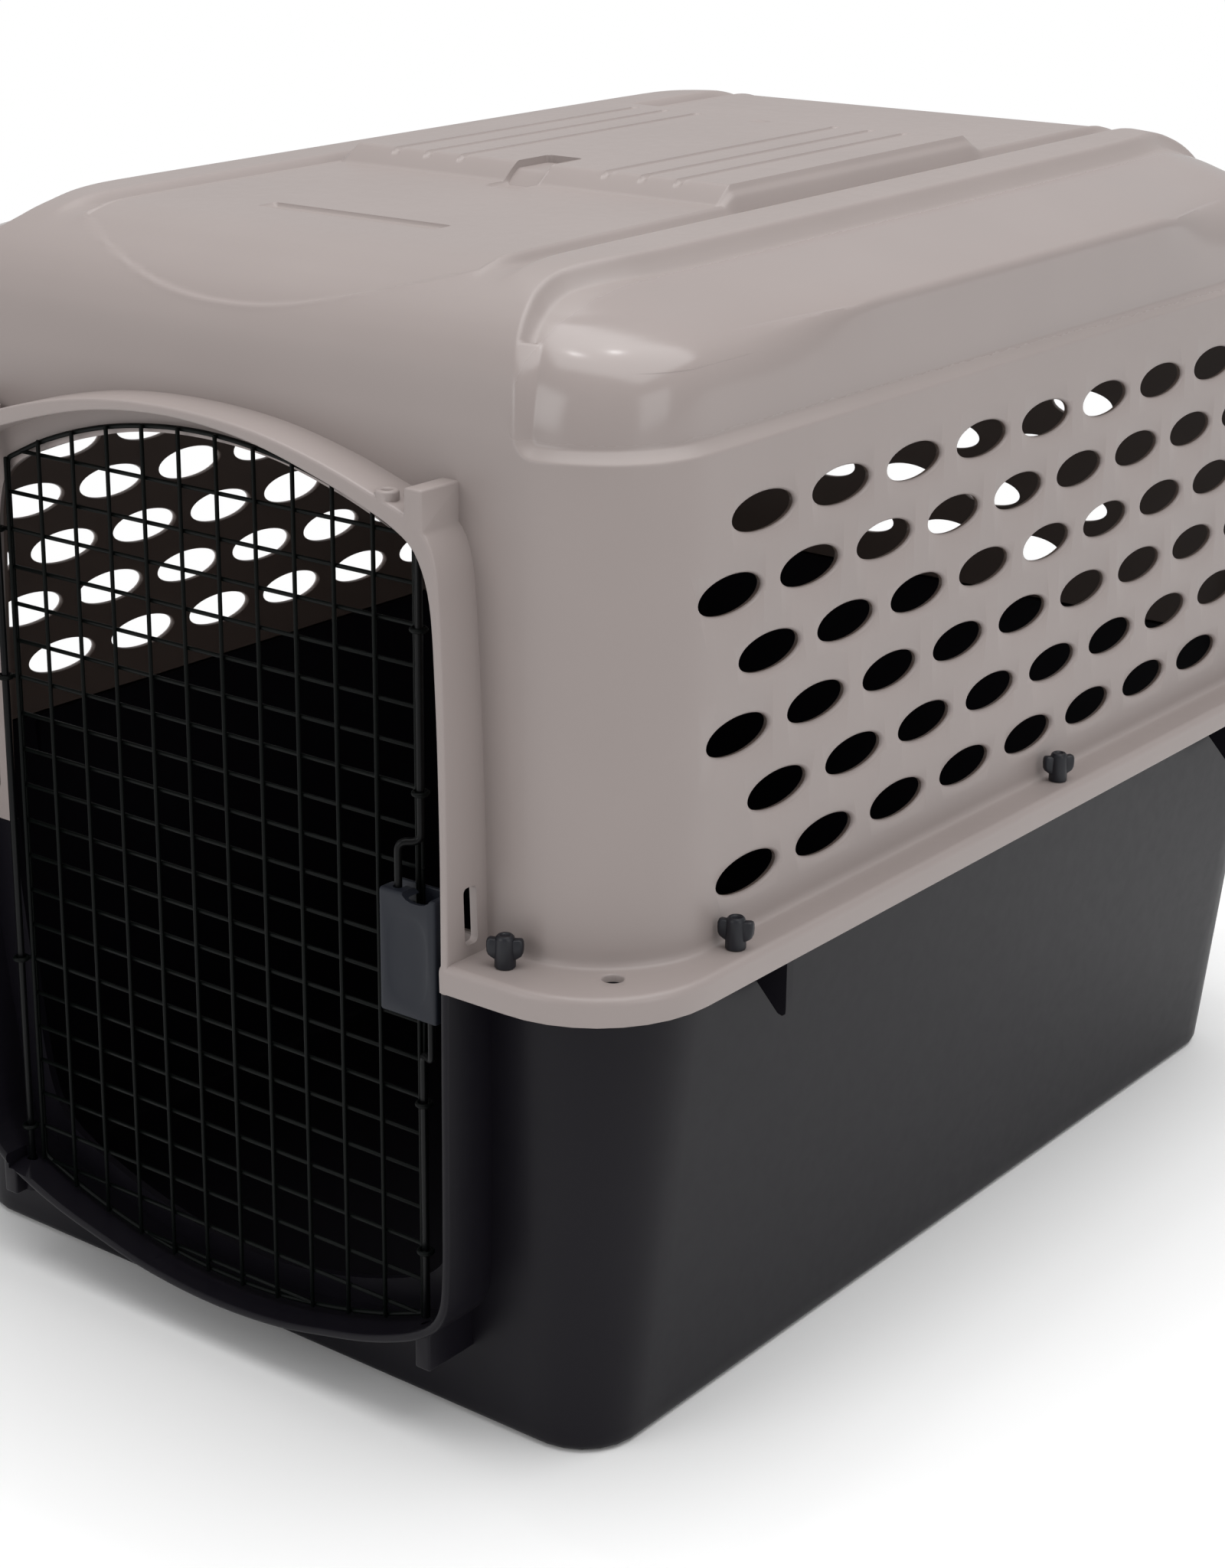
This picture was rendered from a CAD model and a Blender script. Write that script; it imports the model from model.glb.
"""Plastic carrier: a taupe top shell on a charcoal base shell, with a wire door in the front.

X runs across (right is +X), Y from the front (-Y) to the rear, Z up from the floor at 0.
Shapes are worked out in millimetres and stored in metres; materials and the studio use metres.
"""

import math

import bmesh
import bpy
import numpy as np
from mathutils import Matrix, Vector


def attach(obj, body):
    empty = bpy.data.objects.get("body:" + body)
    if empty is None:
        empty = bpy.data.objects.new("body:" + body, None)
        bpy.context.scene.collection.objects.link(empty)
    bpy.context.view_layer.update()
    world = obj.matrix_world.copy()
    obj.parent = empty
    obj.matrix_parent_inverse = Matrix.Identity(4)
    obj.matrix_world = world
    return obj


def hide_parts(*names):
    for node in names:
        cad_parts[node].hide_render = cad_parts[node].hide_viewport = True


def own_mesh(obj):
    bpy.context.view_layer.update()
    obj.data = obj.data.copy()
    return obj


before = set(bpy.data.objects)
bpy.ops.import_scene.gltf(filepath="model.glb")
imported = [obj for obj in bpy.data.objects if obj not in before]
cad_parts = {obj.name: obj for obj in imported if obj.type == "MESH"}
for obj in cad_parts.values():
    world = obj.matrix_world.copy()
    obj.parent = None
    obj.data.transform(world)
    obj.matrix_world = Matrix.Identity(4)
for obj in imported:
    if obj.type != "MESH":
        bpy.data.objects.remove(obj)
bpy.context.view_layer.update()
MM = 0.001

# ------------------------------------------------------------------ driving dimensions (mm)
WALL = 4.0                   # wall thickness of both shells
ROOF_TILT = 0.02             # rise of the roof per mm towards the rear
WALL_FOOT = 249              # height where the upper walls start
WALL_LEAN = 4 / 221          # how far the upper walls lean in per mm of height
WALL_X, WALL_Y = 241, 326    # outer faces of the upper walls at their foot
SEAM_Z = 236                 # parting height at the doorway
HINGE_X, LATCH_X, ROD_Y = -133.5, 132.0, -329.6
HINGE, LATCH = (HINGE_X, ROD_Y), (LATCH_X, ROD_Y)
RIM_CORNERS = [(229, -319), (-229, -319), (229, 319), (-229, 319)]

# wing nuts on the rim: x, y, turn about the upright axis (radians)
NUTS = {
    "front_right": (186, -338, 0.5), "front_left": (-186, -338, -0.5),
    "side_right_front": (250.3, -260, 0.35), "side_left_front": (-250.3, -260, -0.5),
    "side_right_mid": (250.3, 21, 0.9), "side_left_mid": (-250.3, 21, 1.2),
    "side_right_rear": (250.3, 262, 1.57), "side_left_rear": (-250.3, 262, 0.3),
    "rear_right": (120, 338, 0.2), "rear_left": (-120, 338, 1.0),
}

# right halves of the doorway outlines (x, z), from the parting line to the middle:
# collar outside, collar inside and opening, above and below the parting line
UP_OUT = [
    (167, 236), (164.2, 311), (161, 370), (158.6, 402), (156.2, 420), (151.5, 431.5),
    (143.5, 438.5), (134, 442.2), (121, 446.3), (90, 455.3), (49, 463.2), (0, 466)]
UP_IN = [
    (163, 236), (160.2, 311), (156.6, 370), (153, 403.5), (148.8, 416.8), (142.4, 426.6),
    (132.2, 433), (119.6, 438.1), (89, 447.9), (48.4, 457.5), (0, 461.5)]
UP_HOLE = [
    (140, 236), (139.5, 311), (138.5, 370), (137, 398), (132.5, 411), (121, 420.5),
    (106, 427), (80, 436), (42, 445), (0, 448)]
LOW_OUT = [
    (167, 236), (164, 190), (160.2, 130), (157.2, 90), (154.2, 73), (147.5, 62),
    (136, 53.5), (107, 41.5), (76, 33.5), (44, 27), (0, 24)]
LOW_IN = [
    (163, 236), (160, 190), (156.2, 130), (153.3, 91), (150.5, 75.2), (144.6, 65.2),
    (134, 57.4), (105.8, 45.4), (75.2, 37.4), (43.5, 31), (0, 28)]
LOW_HOLE = [
    (140, 236), (139, 190), (137, 130), (134.5, 98), (130, 82), (121.5, 71.5),
    (110, 64.5), (85, 54.5), (60, 47.5), (35, 42.5), (0, 40)]


def wall_shift(z):
    """How far the upper walls have leaned in at height z."""
    return 4 * (z - WALL_FOOT) / 221


def up_wall(z):
    return -WALL_Y + wall_shift(z)


def low_wall(z):
    return -324.5 + 17 * (SEAM_Z - z) / 236


def up_lip(z):
    return -354 + 9 / 230 * (z - SEAM_Z)


def low_lip(z):
    return -354 + 14 / 205 * (SEAM_Z - z)


# ------------------------------------------------------------------ mesh tools
def link_mesh(name, mesh):
    obj = bpy.data.objects.new(name, mesh)
    bpy.context.scene.collection.objects.link(obj)
    return obj


def new_object(name, verts, faces, scale=MM):
    mesh = bpy.data.meshes.new(name)
    mesh.from_pydata([tuple(v) for v in np.asarray(verts, float) * scale], [],
                     [tuple(int(i) for i in face) for face in faces])
    mesh.validate()
    mesh.update()
    return link_mesh(name, mesh)


def fix_normals(obj, weld=True):
    bm = bmesh.new()
    bm.from_mesh(obj.data)
    if weld:
        bmesh.ops.remove_doubles(bm, verts=bm.verts, dist=2e-6)
    bmesh.ops.recalc_face_normals(bm, faces=bm.faces)
    bm.to_mesh(obj.data)
    bm.free()
    return obj


def shade(obj, angle):
    """Smooth shading, with edges sharper than angle (degrees) kept crisp."""
    mesh = obj.data
    mesh.polygons.foreach_set("use_smooth", np.ones(len(mesh.polygons), bool))
    mesh.set_sharp_from_angle(angle=math.radians(angle))
    mesh.update()
    return obj


def remove(obj):
    mesh = obj.data
    bpy.data.objects.remove(obj)
    bpy.data.meshes.remove(mesh)


def boolean(obj, tool, operation):
    """Apply a boolean to obj; the tool is used up."""
    modifier = obj.modifiers.new("b", "BOOLEAN")
    modifier.operation = operation
    modifier.solver = "MANIFOLD"
    modifier.object = tool
    depsgraph = bpy.context.evaluated_depsgraph_get()
    result = bpy.data.meshes.new_from_object(obj.evaluated_get(depsgraph))
    old = obj.data
    obj.modifiers.clear()
    obj.data = result
    bpy.data.meshes.remove(old)
    if not result.polygons:
        raise RuntimeError(f"boolean {operation} on {obj.name} left nothing")
    remove(tool)
    return obj


def join(obj, tool):
    return boolean(obj, tool, "UNION")


def cut(obj, tool):
    return boolean(obj, tool, "DIFFERENCE")


def combine(name, parts, scale=MM):
    """One object from a list of (verts, faces)."""
    verts, faces, count = [], [], 0
    for part_verts, part_faces in parts:
        verts.append(part_verts)
        faces += [[i + count for i in face] for face in part_faces]
        count += len(part_verts)
    return new_object(name, np.concatenate(verts), faces, scale)


def merge(objects):
    """One object from several, which are used up."""
    parts = []
    for obj in objects:
        mesh = obj.data
        coords = np.zeros(len(mesh.vertices) * 3)
        mesh.vertices.foreach_get("co", coords)
        parts.append((coords.reshape(-1, 3), [list(p.vertices) for p in mesh.polygons]))
    merged = combine("piece", parts, 1.0)
    for obj in objects:
        remove(obj)
    return merged


def ring_quads(count, sides):
    """Quads between count stacked rings of the same number of sides."""
    faces = []
    for ring in range(count - 1):
        a, b = ring * sides, (ring + 1) * sides
        for i in range(sides):
            j = (i + 1) % sides
            faces.append([a + i, a + j, b + j, b + i])
    return faces


def capped_rings(count, sides):
    last = [(count - 1) * sides + i for i in range(sides)]
    return ring_quads(count, sides) + [list(range(sides)), last[::-1]]


def closed_rings(count, sides):
    """Quads of a ring of sections that closes on itself."""
    faces = []
    for ring in range(count):
        a, b = ring * sides, (ring + 1) % count * sides
        for i in range(sides):
            j = (i + 1) % sides
            faces.append([a + i, b + i, b + j, a + j])
    return faces


def circle(sides):
    """(cos, sin) of evenly spaced angles."""
    angles = [2 * math.pi * i / sides for i in range(sides)]
    return [(math.cos(angle), math.sin(angle)) for angle in angles]


def spline(points, steps):
    """Centripetal Catmull-Rom curve through points."""
    P = np.asarray(points, float)
    Q = np.vstack([2 * P[0] - P[1], P, 2 * P[-1] - P[-2]])
    curve = []
    for i in range(1, len(Q) - 2):
        p0, p1, p2, p3 = Q[i - 1:i + 3]
        d0, d1, d2 = [max(np.linalg.norm(b - a), 1e-6) ** 0.5
                      for a, b in ((p0, p1), (p1, p2), (p2, p3))]
        t1, t2, t3 = d0, d0 + d1, d0 + d1 + d2
        for k in range(steps):
            t = t1 + (t2 - t1) * k / steps
            a1 = (t1 - t) / t1 * p0 + t / t1 * p1
            a2 = (t2 - t) / (t2 - t1) * p1 + (t - t1) / (t2 - t1) * p2
            a3 = (t3 - t) / (t3 - t2) * p2 + (t - t2) / (t3 - t2) * p3
            b1 = (t2 - t) / t2 * a1 + t / t2 * a2
            b2 = (t3 - t) / (t3 - t1) * a2 + (t - t1) / (t3 - t1) * a3
            curve.append((t2 - t) / (t2 - t1) * b1 + (t - t1) / (t2 - t1) * b2)
    curve.append(P[-1])
    return np.array(curve)


def closed_outline(half, steps=7):
    """Smooth outline from a right half that ends on x = 0: that half, then its mirror image."""
    both = list(half) + [(-x, z) for x, z in reversed(half[:-1])]
    right = spline(both, steps)[:(len(half) - 1) * steps + 1]
    left = right[::-1][1:].copy()
    left[:, 0] *= -1
    return np.vstack([right, left])


def prism_y(outline, y0, y1):
    """Closed outline (x, z) pushed along Y; y0 and y1 may be functions of z."""
    n = len(outline)
    verts = []
    for y in (y0, y1):
        verts += [(x, y(z) if callable(y) else y, z) for x, z in outline]
    faces = [list(range(n)), [i + n for i in range(n)][::-1]]
    faces += [[i, i + n, (i + 1) % n + n, (i + 1) % n] for i in range(n)]
    return fix_normals(new_object("piece", verts, faces))


def box(x, y, z, bevel=0, segments=3, name="piece"):
    """Box over three (low, high) ranges, with rounded edges if bevel is set."""
    bm = bmesh.new()
    bmesh.ops.create_cube(bm, size=1)
    for vert in bm.verts:
        vert.co = Vector([(low + high) / 2 + unit * (high - low)
                          for unit, (low, high) in zip(vert.co, (x, y, z))]) * MM
    if bevel:
        bmesh.ops.bevel(bm, geom=list(bm.edges), offset=bevel * MM, segments=segments,
                        profile=0.5, affect="EDGES")
    bmesh.ops.recalc_face_normals(bm, faces=bm.faces)
    mesh = bpy.data.meshes.new(name)
    bm.to_mesh(mesh)
    bm.free()
    return link_mesh(name, mesh)


def span(side, inner, outer):
    """Range of x on one side: +1 right, -1 left."""
    return sorted((side * inner, side * outer))


def lathe(profile, at=(0, 0), sides=32, name="piece"):
    """Turned body from (radius, z) points, lowest end first, round an upright axis."""
    verts, faces, rings = [], [], []
    for radius, z in profile:
        if radius < 1e-6:
            rings.append([len(verts)])
            verts.append((0, 0, z))
        else:
            rings.append(list(range(len(verts), len(verts) + sides)))
            verts += [(radius * c, radius * s, z) for c, s in circle(sides)]
    for a, b in zip(rings, rings[1:]):
        for i in range(sides):
            j = (i + 1) % sides
            corners = [a[i % len(a)], a[j % len(a)], b[j % len(b)], b[i % len(b)]]
            face = list(dict.fromkeys(corners))
            if len(face) > 2:
                faces.append(face)
    verts = np.array(verts, float)
    verts[:, :2] += at
    return fix_normals(new_object(name, verts, faces))


def cylinder(radius, z0, z1, at=(0, 0), sides=32):
    return lathe([(0, z0), (radius, z0), (radius, z1), (0, z1)], at, sides)


def tube(path, radius, sides):
    """Round bar along a polyline, with chamfered ends, as (verts, faces)."""
    path = np.asarray(path, float)
    start = (path[0] - path[1]) / np.linalg.norm(path[0] - path[1])
    end = (path[-1] - path[-2]) / np.linalg.norm(path[-1] - path[-2])
    path = np.vstack([path[0], path, path[-1]])
    tangents = np.gradient(path, axis=0)
    tangents[:2] = -start
    tangents[-2:] = end
    tangents /= np.linalg.norm(tangents, axis=1)[:, None]
    u = np.array([0, 1.0, 0]) if abs(tangents[0][1]) < 0.9 else np.array([1.0, 0, 0])
    verts, count = [], len(path)
    for i, (point, tangent) in enumerate(zip(path, tangents)):
        u = u - tangent * (u @ tangent)
        u /= np.linalg.norm(u)
        v = np.cross(tangent, u)
        ring_radius, offset = radius, 0.0
        if i in (0, count - 1):
            ring_radius, offset = radius * 0.55, radius * (0.42 if i else -0.42)
        for c, s in circle(sides):
            verts.append(point + tangent * offset + ring_radius * (c * u + s * v))
    caps = [list(range(sides))[::-1], [(count - 1) * sides + s for s in range(sides)]]
    return np.array(verts), ring_quads(count, sides) + caps


def wire_object(name, bars):
    return shade(fix_normals(combine(name, bars), weld=False), 50)


def fillet_path(points, radius, steps):
    """Polyline with rounded corners."""
    P = [np.asarray(p, float) for p in points]
    path = [P[0]]
    for a, b, c in zip(P, P[1:], P[2:]):
        u, v = a - b, c - b
        len_u, len_v = np.linalg.norm(u), np.linalg.norm(v)
        u, v = u / len_u, v / len_v
        angle = math.acos(max(-1, min(1, u @ v)))
        if angle > math.pi - 0.05:
            path.append(b)
            continue
        reach = min(radius / math.tan(angle / 2), 0.48 * len_u, 0.48 * len_v)
        start, end = b + u * reach, b + v * reach
        for k in range(steps + 1):
            t = k / steps
            path.append((1 - t) ** 2 * start + 2 * t * (1 - t) * b + t * t * end)
    path.append(P[-1])
    return np.array(path)


# ------------------------------------------------------------------ top shell surfaces
# Stacks of rounded rectangles:
# height at y = 0, half width (x), half length (y), corner radius, rise per mm of y
HULL = [
    [249, 241.06, 326.06, 55, 0], [330, 239.6, 324.6, 55, 0], [420, 237.9, 322.9, 55, 0],
    [470, 237, 322, 55, 0], [484, 236.6, 320, 55.5, .001], [496, 236.2, 317, 56, .003],
    [508, 235.5, 311.5, 56, .008], [516, 233.5, 306, 55, .012], [521.5, 227.5, 301, 54, .015],
    [527.5, 212, 293.5, 52, .018], [533, 196, 284, 48, .02], [537.5, 181, 273, 44, .02],
    [540.2, 169, 261, 39, .02], [541, 160, 252, 34, .02], [541.3, 120, 208, 14, .02],
    [541.3, 1, 87, .5, .02]]
# the set-back faces high on the sides, halfway along them
RECESS = [
    [440, 233.2, 319, 51, 0], [473, 231.9, 317, 51, .0], [486, 231.6, 314.8, 51, .003],
    [500, 231.3, 311, 51.5, .008], [508, 231.2, 307.4, 51, .012],
    [512, 230.7, 304.9, 51, .0145], [514.4, 229.3, 302.8, 50.5, .016],
    [517, 223.5, 300, 49.5, .017], [521.3, 211, 295, 48, .018], [525.6, 196, 288, 46, .02],
    [529.4, 182, 279, 42, .02], [531.3, 173, 270, 38, .02], [532.4, 160, 256, 30, .02],
    [533, 100, 196, 5, .02], [533.1, 1, 97, .5, .02]]
# the same faces towards the front and the rear, with a rounder shoulder
RECESS_ENDS = [
    [440, 233.2, 319, 51, 0], [473, 231.9, 317, 51, 0], [484, 231.2, 315.2, 51, .001],
    [493, 230.2, 312.4, 51, .005], [501, 228.0, 309.2, 51, .009],
    [507.5, 224.4, 305.6, 50.8, .0125], [512.5, 219.4, 301.8, 50.2, .015],
    [516.6, 212.6, 297.6, 49.2, .017], [520.3, 204.2, 293.0, 48, .018],
    [524, 194.5, 287.6, 46.5, .02], [528, 182.8, 279.8, 42.5, .02],
    [531.3, 172, 269.6, 38, .02], [532.4, 160, 256, 30, .02], [533, 100, 196, 5, .02],
    [533.1, 1, 97, .5, .02]]


def monotone(points, count):
    """Smooth monotone resampling of a table, by row index."""
    P = np.asarray(points, float)
    step = np.diff(P, axis=0)
    slope = np.zeros_like(P)
    a, b = step[:-1], step[1:]
    with np.errstate(divide="ignore", invalid="ignore"):
        slope[1:-1] = np.where(a * b > 0, 2 * a * b / (a + b), 0.0)
    slope[0], slope[-1] = step[0], step[-1]
    s = np.linspace(0, len(P) - 1, count)
    i = np.minimum(s.astype(int), len(P) - 2)
    t = (s - i)[:, None]
    h00, h10 = 2 * t ** 3 - 3 * t ** 2 + 1, t ** 3 - 2 * t ** 2 + t
    h01, h11 = -2 * t ** 3 + 3 * t ** 2, t ** 3 - t ** 2
    return h00 * P[i] + h10 * slope[i] + h01 * P[i + 1] + h11 * slope[i + 1]


HULL_LEVELS = monotone(HULL, 900)
RECESS_LEVELS = monotone(RECESS, 900)
RECESS_END_LEVELS = monotone(RECESS_ENDS, 900)

# inner edge of the set-back faces (|y|, |x|)
RECESS_EDGE = monotone([
    [-1, 166], [150, 166], [190, 165.8], [220, 164.6], [243, 161.6], [258, 158],
    [268, 156.4], [280, 157.6], [292, 161.4], [308, 168.4], [316, 174], [323, 178],
    [330, 178.6], [400, 178.6]], 1200)
RECESS_FLOOR_Z = 468.8       # lower ledge of the set-back faces
# step from the hull to the set-back face (share of the step's width, share of its depth)
STEP_PROFILE = monotone([
    [-0.12, 0], [0.0, 0.03], [0.10, 0.12], [0.5, 0.58], [0.88, 0.93], [1.0, 0.99],
    [1.12, 1.0]], 300)
# grooves along the roof panel (|x|, share of the depth)
GROOVE_PROFILE = monotone([
    [118.5, 0], [120.6, 0.05], [122.2, 0.28], [125.2, 0.86], [127, 0.99], [130, 1.0],
    [133, 0.98], [134.8, 0.86], [138.4, 0.28], [140.4, 0.05], [142.5, 0]], 300)
GROOVE_DEPTH = 6.2
FINE_GROOVES_X = (46, 68.3, 89.6)


def rectangle_distance(x, y, half_x, half_y, radius):
    """Signed distance to a rounded rectangle, negative inside."""
    qx, qy = np.abs(x) - (half_x - radius), np.abs(y) - (half_y - radius)
    outside = np.hypot(np.maximum(qx, 0), np.maximum(qy, 0))
    return outside + np.minimum(np.maximum(qx, qy), 0) - radius


def height(levels, x, y):
    """Height of a stack of levels above (x, y), by bisection."""
    x, y = np.broadcast_arrays(np.asarray(x, float), np.asarray(y, float))
    k = np.arange(len(levels))
    low, high = np.zeros(x.shape), np.full(x.shape, len(levels) - 1.0)
    for _ in range(22):
        middle = (low + high) / 2
        size = (np.interp(middle, k, levels[:, column]) for column in (1, 2, 3))
        outside = rectangle_distance(x, y, *size) > 0
        high = np.where(outside, middle, high)
        low = np.where(outside, low, middle)
    s = (low + high) / 2
    return np.interp(s, k, levels[:, 0]) + np.interp(s, k, levels[:, 4]) * y


def at_level(levels, z):
    """Half width, half length, corner radius and tilt where the height at y = 0 is z."""
    return [float(np.interp(z, levels[:, 0], levels[:, column])) for column in (1, 2, 3, 4)]


def recess_mask(x, y, above=None):
    """0 on the hull, 1 on the set-back face.

    above is the height over the lower ledge; the corners it makes with the edge are rounded.
    """
    ay, ax = np.abs(y), np.abs(x)
    edge_y, edge_x = RECESS_EDGE.T
    slope = np.interp(ay, edge_y, np.gradient(edge_x, edge_y))
    beyond = (ax - np.interp(ay, edge_y, edge_x)) / np.sqrt(1 + slope * slope)
    width = np.interp(ay, [0, 235, 300, 330], [7.6, 7.6, 5.6, 5.0])
    if above is not None:
        radius = 9.0
        width = np.where(above < beyond, 5.2, width)
        rounded = radius - np.hypot(np.maximum(radius - beyond, 0),
                                    np.maximum(radius - above, 0))
        beyond = np.where((beyond > radius) | (above > radius),
                          np.minimum(beyond, above), rounded)
    return np.interp(beyond / width, STEP_PROFILE[:, 0], STEP_PROFILE[:, 1], 0, 1)


def sstep(v, a, b):
    """Smooth step from 0 at a to 1 at b."""
    t = np.clip((v - a) / (b - a), 0, 1)
    return t * t * (3 - 2 * t)


def smooth_max(a, b, blend):
    return 0.5 * (a + b + np.sqrt((a - b) ** 2 + blend * blend))


def end_share(y):
    """0 halfway along the sides, 1 towards the front and the rear."""
    return sstep(np.abs(y), 130, 235)


def roof_height(x, y, fine=True):
    ax = np.abs(x)
    hull = height(HULL_LEVELS, x, y)
    ends = end_share(y)
    recess = height(RECESS_LEVELS, x, y) * (1 - ends) + height(RECESS_END_LEVELS, x, y) * ends
    z = hull + recess_mask(x, y) * np.minimum(recess - hull, 0)
    # groove between the roof panel and the side strips
    groove = np.interp(ax, GROOVE_PROFILE[:, 0], GROOVE_PROFILE[:, 1], 0, 0) * GROOVE_DEPTH
    z = z - groove * sstep(y, -287, -246) * (1 - sstep(y, 246, 287))
    # raised plateau with sloping flanks
    fall_x = np.maximum(ax - 117.6, 0) * 1.95
    fall_front, fall_rear = np.maximum(-88.5 - y, 0) * 0.80, np.maximum(y - 121.5, 0) * 0.72
    fall = np.hypot(fall_x, np.maximum(fall_front, fall_rear))
    top = 550 + ROOF_TILT * y - np.where(fall > 0, np.sqrt(fall * fall + 1.6 ** 2) - 1.6, 0)
    near = (ax < 131) & (y > -125) & (y < 145)
    blended = smooth_max(z, top, 0.9) - 0.9 * 0.5 * np.exp(-np.abs(z - top) / 1.2)
    z = np.where(near, blended, z)
    if fine:
        for groove_x in FINE_GROOVES_X:
            groove = 1 - sstep(np.abs(ax - groove_x), 0.7, 2.2)
            z = z - 1.5 * groove * sstep(y, -95, -91) * (1 - sstep(y, 109, 112.5))
        # slot across the roof, in front of the plateau
        slot = (1 - sstep(ax, 53, 54.6)) * sstep(y, -228.6, -227.4)
        z = z - 1.7 * slot * (1 - sstep(y, -218.2, -217.2))
        # notch in the front of the plateau
        notch = (1 - sstep(ax, 8.6, 10.4)) * (1 - sstep(y, -67.8, -66.2))
        notch = notch * sstep(y, -118, -112)
        z = np.where(notch > 0, z + notch * np.minimum(539.4 + ROOF_TILT * y - z, 0), z)
        # round dimple near the rear of the plateau
        z = z - 1.6 * (1 - sstep(np.hypot(x, y - 104), 3.2, 4.4))
    return z


def grid_lines(low, high, coarse, fine):
    """Sorted positions in coarse steps, with finer stretches (start, end, step)."""
    values = list(np.arange(low, high, coarse)) + [high]
    for a, b, step in fine:
        values = [v for v in values if not (a - step * 0.6 < v < b + step * 0.6)]
        values += list(np.arange(a, b + 1e-6, step))
    values = np.array(sorted(values))
    kept = [values[0]]
    for v in values[1:]:
        if v - kept[-1] > 0.25:
            kept.append(v)
    return np.array(kept)


class RingMesh:
    """Rounded rectangle loops tied to a rectangular grid in the middle."""

    def __init__(self, xs, ys, corner_steps):
        self.xs, self.ys, self.corner_steps = xs, ys, corner_steps
        self.verts, self.faces, self.count = [], [], 0
        grid_x, grid_y = np.meshgrid(xs, ys)
        self.grid_xy = np.c_[grid_x.ravel(), grid_y.ravel()]
        grid = np.arange(grid_x.size).reshape(grid_x.shape)
        repeat = corner_steps - 1
        # grid points round its edge, in step with the points of a loop
        self.seam = np.concatenate([
            grid[:, -1], [grid[-1, -1]] * repeat, grid[-1, ::-1], [grid[-1, 0]] * repeat,
            grid[::-1, 0], [grid[0, 0]] * repeat, grid[0], [grid[0, -1]] * repeat])

    def loop(self, half_x, half_y, radius):
        """Points (x, y) of one rounded rectangle, anticlockwise from the front right."""
        xs, ys = self.xs, self.ys
        flat_x, flat_y = half_x - radius, half_y - radius

        def reach(v, flat_along, flat_across):
            over = np.maximum(np.abs(v) - flat_along, 0)
            return flat_across + np.sqrt(np.maximum(radius * radius - over ** 2, 0))
        right_x, back_y = reach(ys, flat_y, flat_x), reach(xs, flat_x, flat_y)
        # corner: straight run, arc from angle a0 to a1, straight run
        run_1, run_3 = max(flat_y - ys[-1], 0.0), max(flat_x - xs[-1], 0.0)
        a0 = math.asin(max(ys[-1] - flat_y, 0.0) / radius)
        a1 = math.acos(max(xs[-1] - flat_x, 0.0) / radius)
        arc = radius * (a1 - a0)
        corner = []
        for k in range(1, self.corner_steps):
            length = (run_1 + arc + run_3) * k / self.corner_steps
            if length <= run_1:
                corner.append((half_x, ys[-1] + length))
            elif length <= run_1 + arc:
                a = a0 + (length - run_1) / radius
                corner.append((flat_x + radius * math.cos(a), flat_y + radius * math.sin(a)))
            else:
                corner.append((flat_x - (length - run_1 - arc), half_y))
        corner = np.array(corner).reshape(-1, 2)
        return np.vstack([
            np.c_[right_x, ys], corner,
            np.c_[xs[::-1], back_y[::-1]], corner[::-1] * (-1, 1),
            np.c_[-right_x[::-1], ys[::-1]], -corner,
            np.c_[xs, -back_y], corner[::-1] * (1, -1)])

    def level(self, half_x, half_y, radius, z, tilt=0.0):
        points = self.loop(half_x, half_y, radius)
        return np.c_[points, z + tilt * points[:, 1]]

    def add(self, points):
        self.verts.append(np.asarray(points, float))
        self.count += len(points)
        return np.arange(self.count - len(points), self.count)

    def join(self, a, b, flip):
        """Faces between two loops of ids."""
        for i in range(len(a)):
            j = (i + 1) % len(a)
            face = list(dict.fromkeys([a[i], a[j], b[j], b[i]]))
            if len(face) > 2:
                self.faces.append(face[::-1] if flip else face)

    def skin(self, loops, grid_z, flip, start=None):
        """Join loops (after the ids in start, if given) and close them with the grid.

        grid_z gives the heights of the grid. Returns the ids of the first loop.
        """
        first = previous = start
        for points in loops:
            ids = self.add(points)
            if previous is None:
                first = ids
            else:
                self.join(previous, ids, flip)
            previous = ids
        xy = self.grid_xy
        base = self.add(np.c_[xy, grid_z(xy[:, 0], xy[:, 1])])[0]
        self.join(previous, self.seam + base, flip)
        nx = len(self.xs)
        for j in range(len(self.ys) - 1):
            for i in range(nx - 1):
                a = base + j * nx + i
                quad = [a, a + 1, a + nx + 1, a + nx]
                self.faces.append(quad[::-1] if flip else quad)
        return first

    def build(self, name):
        return new_object(name, np.concatenate(self.verts), self.faces)


# ------------------------------------------------------------------ shared shell parts
def halves_resampled(outline):
    """75 even steps along each half, so that two outlines can be paired."""
    k = len(outline) // 2
    halves = []
    for half in (outline[:k + 1], outline[k:]):
        along = np.r_[0, np.cumsum(np.linalg.norm(np.diff(half, axis=0), axis=1))]
        t = np.linspace(0, along[-1], 76)
        halves.append(np.c_[np.interp(t, along, half[:, 0]), np.interp(t, along, half[:, 1])])
    return np.vstack([halves[0], halves[1][1:]])


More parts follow.
